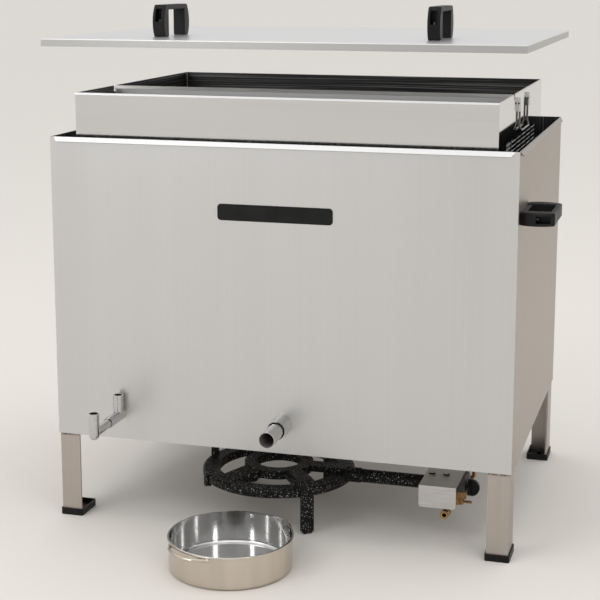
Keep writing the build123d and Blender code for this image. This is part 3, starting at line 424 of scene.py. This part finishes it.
def spunPan(name, look):
    material = startMaterial(name)
    grain = stretchedNoise(material, look["grain"])
    facing = lookingOut(material, (panLow + panHigh) / 2, (1, 1, 0))
    outwards = calculate(material, "GREATER_THAN", facing, look["outsideTurn"])
    inside = ramp(material, grain, *look["inside"])
    outside = ramp(material, grain, *look["outside"])
    return finishMaterial(material, {
        "Metallic": 1.0,
        "Base Color": mix(material, "RGBA", outwards, inside, outside),
        "Roughness": spread(material, grain, *look["roughness"]),
        "Normal": roughen(material, grain, look["bump"], metalBumpDepth),
    })


panSteel = spunPan("panSteel", panSet)
dress(panSteel, "catch_pan_bowl", "catch_pan_left_ear", "catch_pan_right_ear")

# slotted screws in the shield: the sides of the heads and the slots are painted dark as painted shade
screwSet = {
    "bright": (0.60, 0.595, 0.58),
    "worn": 0.8,  # share of bright
    "paintedShade": (0.05, 0.05, 0.05),
    "slot": 0.0007,  # half the slot's width
    "sideTurn": 0.5,  # a face whose normal rises less than this is a side
    "roughness": 0.35,
    "grain": (300, 300, 300),
}


def slottedScrew(name, look):
    low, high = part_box("shield_screws")
    material = startMaterial(name)
    across = oneAxis(material, coordinates(material, "Object"), "Y")
    slot = calculate(material, "COMPARE", across, (low.y + high.y) / 2, look["slot"])
    rise = oneAxis(material, coordinates(material, "Normal"), "Z")
    side = calculate(material, "LESS_THAN", rise, look["sideTurn"])
    # painted shade on the slots and the sides of the heads
    paintedShade = calculate(material, "MAXIMUM", slot, side)
    grain = stretchedNoise(material, look["grain"])
    bright = ramp(material, grain, [level * look["worn"] for level in look["bright"]], look["bright"])
    return finishMaterial(material, {
        "Metallic": 1.0,
        "Base Color": mix(material, "RGBA", paintedShade, bright, look["paintedShade"]),
        "Roughness": look["roughness"],
    })


dress(slottedScrew("slottedScrew", screwSet), "shield_screws")
print("tubes and fittings dressed")

# moulded black plastic with a fine texture, and the seals' rubber
plasticSet = {
    "low": (0.004, 0.004, 0.0043),
    "high": (0.009, 0.009, 0.0095),
    "cloud": (40, 40, 40),
    "cloudDetail": 2.0,
    "roughness": (0.36, 0.48),
    "specular": 0.2,
    "grain": (900, 900, 900),
    "grainDetail": 3.0,
    "bump": 0.12,
    "bumpDepth": 0.0004,
}
rubberSet = {
    **plasticSet,
    "low": (0.012, 0.012, 0.012),
    "high": (0.024, 0.024, 0.024),
    "roughness": (0.6, 0.75),
    "specular": 0.3,
}


def mouldedPlastic(name, look):
    material = startMaterial(name)
    grain = stretchedNoise(material, look["grain"], look["grainDetail"])
    cloud = stretchedNoise(material, look["cloud"], look["cloudDetail"])
    return finishMaterial(material, {
        "Metallic": 0.0,
        "Specular IOR Level": look["specular"],
        "Base Color": ramp(material, cloud, look["low"], look["high"]),
        "Roughness": spread(material, cloud, *look["roughness"]),
        "Normal": roughen(material, grain, look["bump"], look["bumpDepth"]),
    })


blackPlastic = mouldedPlastic("blackPlastic", plasticSet)
dress(blackPlastic, "left_tank_handle", "right_tank_handle", "left_lid_handle", "right_lid_handle")
dress(blackPlastic, "front_left_foot", "front_right_foot", "rear_left_foot", "rear_right_foot", "valve_knob")
dress(mouldedPlastic("sealRubber", rubberSet), "wax_outlet_seal", "level_seal")

# black enamel over rough iron, with white specks in two sizes
enamelSet = {
    "black": (0.003, 0.003, 0.003),
    "grey": (0.010, 0.010, 0.010),
    "roughness": 0.5,
    "specular": 0.14,
    "speck": (0.42, 0.42, 0.41),
    "speckCells": (330, 180),  # per metre
    "speckReach": (0.175, 0.155),  # share of a cell
    "cast": (140, 140, 140),
    "castDetail": 5.0,
    "bump": 0.5,
    "bumpDepth": 0.001,
}


def speckledEnamel(name, look):
    material = startMaterial(name)
    cast = stretchedNoise(material, look["cast"], look["castDetail"])
    colour = ramp(material, cast, look["black"], look["grey"])
    for cells, reach in zip(look["speckCells"], look["speckReach"]):
        dots = addNode(material, "ShaderNodeTexVoronoi")
        feedAll(material, dots, {"Vector": coordinates(material, "Object"), "Scale": cells})
        speck = calculate(material, "LESS_THAN", dots.outputs["Distance"], reach)
        colour = mix(material, "RGBA", speck, colour, look["speck"])
    return finishMaterial(material, {
        "Metallic": 0.0,
        "Specular IOR Level": look["specular"],
        "Base Color": colour,
        "Roughness": look["roughness"],
        "Normal": roughen(material, cast, look["bump"], look["bumpDepth"]),
    })


speckled = speckledEnamel("speckledEnamel", enamelSet)
dress(speckled, "burner_casting", "burner_front_leg", "burner_rear_leg", "burner_left_leg", "mixer_tube")
print("plastic and enamel dressed")


def addMesh(name, shape, material):
    mesh = bpy.data.meshes.new(name)
    shape.to_mesh(mesh)
    shape.free()
    mesh.materials.append(material)
    piece = bpy.data.objects.new(name, mesh)
    bpy.context.scene.collection.objects.link(piece)
    return piece


# a new piece's object sits at the origin and its place is in its mesh
def finishPiece(name, shape, material, body):
    bmesh.ops.recalc_face_normals(shape, faces=shape.faces)
    piece = addMesh(name, shape, material)
    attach(piece, body)
    return piece


def softenEdges(shape, edges, width, segments):
    bmesh.ops.bevel(shape, geom=edges, offset=width, offset_type="OFFSET", segments=segments, profile=0.5,
                    affect="EDGES", material=-1)


# blank plate on the front panel, with softened corners and edges
plateSet = {
    "centre": (0.0, 0.526),
    "size": (0.186, 0.026),
    "thickness": 0.0012,
    "corner": 0.006,
    "cornerSegments": 6,
    "edge": 0.0004,
    "edgeSegments": 2,
    "tolerance": 1e-6,
}
sheetThickness = 0.0015
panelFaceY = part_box("tank_front_panel")[1].y - sheetThickness


def blankPlate(look):
    shape = bmesh.new()
    bmesh.ops.create_cube(shape, size=1.0)
    bmesh.ops.scale(shape, vec=(look["size"][0], look["thickness"], look["size"][1]), verts=shape.verts)
    middle = (look["centre"][0], panelFaceY - look["thickness"] / 2, look["centre"][1])
    bmesh.ops.translate(shape, vec=middle, verts=shape.verts)
    corners = [e for e in shape.edges if abs(e.verts[0].co.y - e.verts[1].co.y) > look["thickness"] / 2]
    softenEdges(shape, corners, look["corner"], look["cornerSegments"])
    frontY = min(v.co.y for v in shape.verts)
    rim = [e for e in shape.edges if all(abs(v.co.y - frontY) < look["tolerance"] for v in e.verts)]
    softenEdges(shape, rim, look["edge"], look["edgeSegments"])
    return finishPiece("blankPlate", shape, blackPlastic, "tank")


blankPlate(plateSet)

# weld beads in the four inner corners of the lift-out box
beadSet = {"radius": 0.0013, "belowTop": 0.001, "sides": 10}


def cornerWelds(look):
    left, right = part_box("box_left_wall")[1].x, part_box("box_right_wall")[0].x
    front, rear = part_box("box_front_wall")[1].y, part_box("box_rear_wall")[0].y
    foot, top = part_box("box_floor")[1].z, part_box("box_left_wall")[1].z - look["belowTop"]
    shape = bmesh.new()
    for x in (left, right):
        for y in (front, rear):
            place = Matrix.Translation((x, y, (foot + top) / 2))
            bmesh.ops.create_cone(shape, cap_ends=True, segments=look["sides"], radius1=look["radius"],
                                  radius2=look["radius"], depth=top - foot, matrix=place)
    return finishPiece("cornerWelds", shape, finishes["weldedEye"], "lift_out_box")


cornerWelds(beadSet)

# weld pads where the ears of the catch pan meet its wall
padSet = {
    "size": (0.0024, 0.0055, 0.0034),
    "angle": 241.0,  # degrees from +X round to the left ear
    "spread": 54.0,  # degrees between an ear's two pads
    "lip": 0.0018,
    "segments": (16, 10),
}


def earPads(look):
    low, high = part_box("catch_pan_bowl")
    earLow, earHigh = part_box("catch_pan_left_ear")
    middle = (low + high) / 2
    radius = (high.x - low.x) / 2 - look["lip"]
    around, upright = look["segments"]
    shape = bmesh.new()
    for turn in (look["angle"], look["angle"] - 180):
        for side in (-1, 1):
            angle = math.radians(turn + side * look["spread"] / 2)
            place = (
                Matrix.Translation((middle.x, middle.y, (earLow.z + earHigh.z) / 2))
                @ Matrix.Rotation(angle, 4, "Z")
                @ Matrix.Translation((radius, 0, 0))
                @ Matrix.Diagonal((*look["size"], 1))
            )
            bmesh.ops.create_uvsphere(shape, u_segments=around, v_segments=upright, radius=1.0, matrix=place)
    for face in shape.faces:
        face.smooth = True
    return finishPiece("earPads", shape, panSteel, "catch_pan")


earPads(padSet)

# flat bracket behind the valve that holds the flame probe
bracketSet = {
    "foot": (0.264, 0.2875),
    "footZ": (0.064, 0.070),
    "arm": (0.2815, 0.2875),
    "top": 0.0935,
    "thickness": 0.0012,
    "edge": 0.0003,
    "edgeSegments": 2,
}


def probeBracket(look):
    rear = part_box("valve_body")[1].y
    footLeft, footRight = look["foot"]
    footLow, footHigh = look["footZ"]
    armLeft, armRight = look["arm"]
    outline = [
        (footLeft, footLow), (footRight, footLow), (armRight, look["top"]),
        (armLeft, look["top"]), (armLeft, footHigh), (footLeft, footHigh),
    ]
    shape = bmesh.new()
    face = shape.faces.new([shape.verts.new((x, rear, z)) for x, z in outline])
    grown = bmesh.ops.extrude_face_region(shape, geom=[face])["geom"]
    moved = [v for v in grown if isinstance(v, bmesh.types.BMVert)]
    bmesh.ops.translate(shape, vec=(0, look["thickness"], 0), verts=moved)
    softenEdges(shape, shape.edges[:], look["edge"], look["edgeSegments"])
    # the bracket's pale finish is a painted reflection of the floor
    return finishPiece("probeBracket", shape, finishes["paleStrip"], "gas_ring")


probeBracket(bracketSet)
print("small pieces placed")

# pale floor and soft light: the world is bright at the horizon, dims above it and is brightest overhead
stageSet = {
    "floor": (0.80, 0.765, 0.715),
    "floorRoughness": 0.7,
    "reach": 60.0,
    "sides": 64,
    # sine of the height, and the level there
    "sky": [(0.0, 0.95), (0.12, 0.85), (0.28, 0.42), (0.45, 0.50), (0.7, 1.05), (1.0, 1.15)],
}
lampSets = [
    {"name": "keySoftbox", "place": (-2.2, -2.8, 2.9), "aim": (0, 0, 0.4), "size": (1.8, 1.8), "power": 22},
    {"name": "topSoftbox", "place": (0.2, 0.4, 3.4), "aim": (0, 0.1, 0.5), "size": (2.6, 2.6), "power": 14},
    {"name": "leftStrip", "place": (-1.5, -3.6, 1.5), "aim": (0, 0, 0.3), "size": (0.35, 1.4), "power": 9},
    {"name": "rightStrip", "place": (2.6, -2.6, 1.5), "aim": (0, 0, 0.3), "size": (0.35, 1.4), "power": 9},
]


def paleFloor(look):
    material = finishMaterial(startMaterial("paleFloor"), {
        "Metallic": 0.0,
        "Base Color": look["floor"],
        "Roughness": look["floorRoughness"],
    })
    shape = bmesh.new()
    bmesh.ops.create_circle(shape, cap_ends=True, segments=look["sides"], radius=look["reach"])
    floor = addMesh("paleFloor", shape, material)


def softWorld(look):
    world = bpy.data.worlds.new("softWorld")
    world.use_nodes = True
    sky = addNode(world, "ShaderNodeValToRGB")
    stops = sky.color_ramp.elements
    while len(stops) < len(look["sky"]):
        stops.new(1.0)
    for stop, (height, level) in zip(stops, look["sky"]):
        stop.position = height
        stop.color = (level, level, level, 1)
    feed(world, sky.inputs["Fac"], oneAxis(world, coordinates(world, "Generated"), "Z"))
    feed(world, world.node_tree.nodes["Background"].inputs["Color"], sky.outputs["Color"])
    bpy.context.scene.world = world


def softLamp(look):
    light = bpy.data.lights.new(look["name"], "AREA")
    light.shape = "RECTANGLE"
    light.size, light.size_y = look["size"]
    light.energy = look["power"]
    holder = bpy.data.objects.new(look["name"], light)
    holder.location = look["place"]
    aim = Vector(look["aim"]) - Vector(look["place"])
    holder.rotation_euler = aim.to_track_quat("-Z", "Y").to_euler()
    holder.visible_camera = False
    bpy.context.scene.collection.objects.link(holder)


paleFloor(stageSet)
softWorld(stageSet)
for lampSet in lampSets:
    softLamp(lampSet)
print("stage lit")
